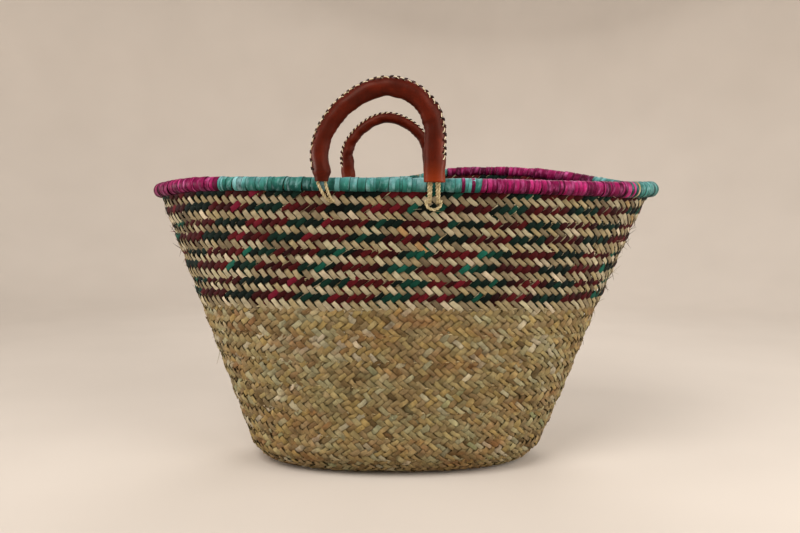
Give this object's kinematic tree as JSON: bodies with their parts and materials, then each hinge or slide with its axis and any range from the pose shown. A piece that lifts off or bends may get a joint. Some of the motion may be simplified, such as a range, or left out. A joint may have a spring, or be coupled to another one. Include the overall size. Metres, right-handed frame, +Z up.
{
  "type": "straw market basket",
  "caption": "Oval flared market basket of plaited palm-leaf courses with a dyed upper band, a wrapped rim and hinged leather loop handles",
  "frame": {"origin": "under the middle of the base, on the surface it stands on", "axes": "+X along the mouth to the right as seen from the front, -Y to the front, +Z up"},
  "size_m": [0.587, 0.3189, 0.4312],
  "materials": {
    "natural_plait": "plaited natural palm leaf, matt with a slight leaf sheen",
    "dyed_plait": "plaited palm leaf, natural strips crossed by dark red and dark green dyed strips",
    "twine": "twisted palm-fibre twine",
    "rope": "laid palm-fibre rope, hidden",
    "turquoise_wrap": "dyed turquoise leaf strip, satin",
    "fuchsia_wrap": "dyed fuchsia leaf strip, satin",
    "leather": "russet vegetable-tanned leather, creased",
    "lacing": "cream waxed thread over dark leather edges"
  },
  "bodies": {
    "basket": {"base_plait": "natural_plait", "natural_course_1": "natural_plait", "natural_course_2": "natural_plait", "natural_course_3": "natural_plait", "natural_course_4": "natural_plait", "natural_course_5": "natural_plait", "natural_course_6": "natural_plait", "natural_course_7": "natural_plait", "coloured_course_1": "dyed_plait", "coloured_course_2": "dyed_plait", "coloured_course_3": "dyed_plait", "coloured_course_4": "dyed_plait", "seam_cord_1": "twine", "seam_cord_2": "twine", "seam_cord_3": "twine", "seam_cord_4": "twine", "seam_cord_5": "twine", "seam_cord_6": "twine", "seam_cord_7": "twine", "seam_cord_8": "twine", "seam_cord_9": "twine", "seam_cord_10": "twine", "seam_cord_11": "twine", "rim_core": "rope", "rim_wrap_right_turquoise": "turquoise_wrap", "rim_wrap_back_turquoise": "turquoise_wrap", "rim_wrap_front_turquoise": "turquoise_wrap", "rim_wrap_back_right_fuchsia": "fuchsia_wrap", "rim_wrap_left_fuchsia": "fuchsia_wrap", "rim_wrap_front_right_fuchsia": "fuchsia_wrap"},
    "front_handle": {"front_handle_core": "rope", "front_handle_leather": "leather", "front_handle_lacing": "lacing", "front_left_eye": "twine", "front_right_eye": "twine"},
    "back_handle": {"back_handle_core": "rope", "back_handle_leather": "leather", "back_handle_lacing": "lacing", "back_left_eye": "twine", "back_right_eye": "twine"}
  },
  "joints": [
    {"name": "front_handle_swing", "type": "hinge", "parent": "basket", "child": "front_handle", "pos_m": [-0.01593, -0.1343, 0.31954], "axis": [0.9995, -0.0296, -0.0097], "range_deg": [-40, 60]},
    {"name": "back_handle_swing", "type": "hinge", "parent": "basket", "child": "back_handle", "pos_m": [-0.00898, 0.13453, 0.33707], "axis": [-0.9963, -0.022, -0.0835], "range_deg": [-40, 60]}
  ]
}
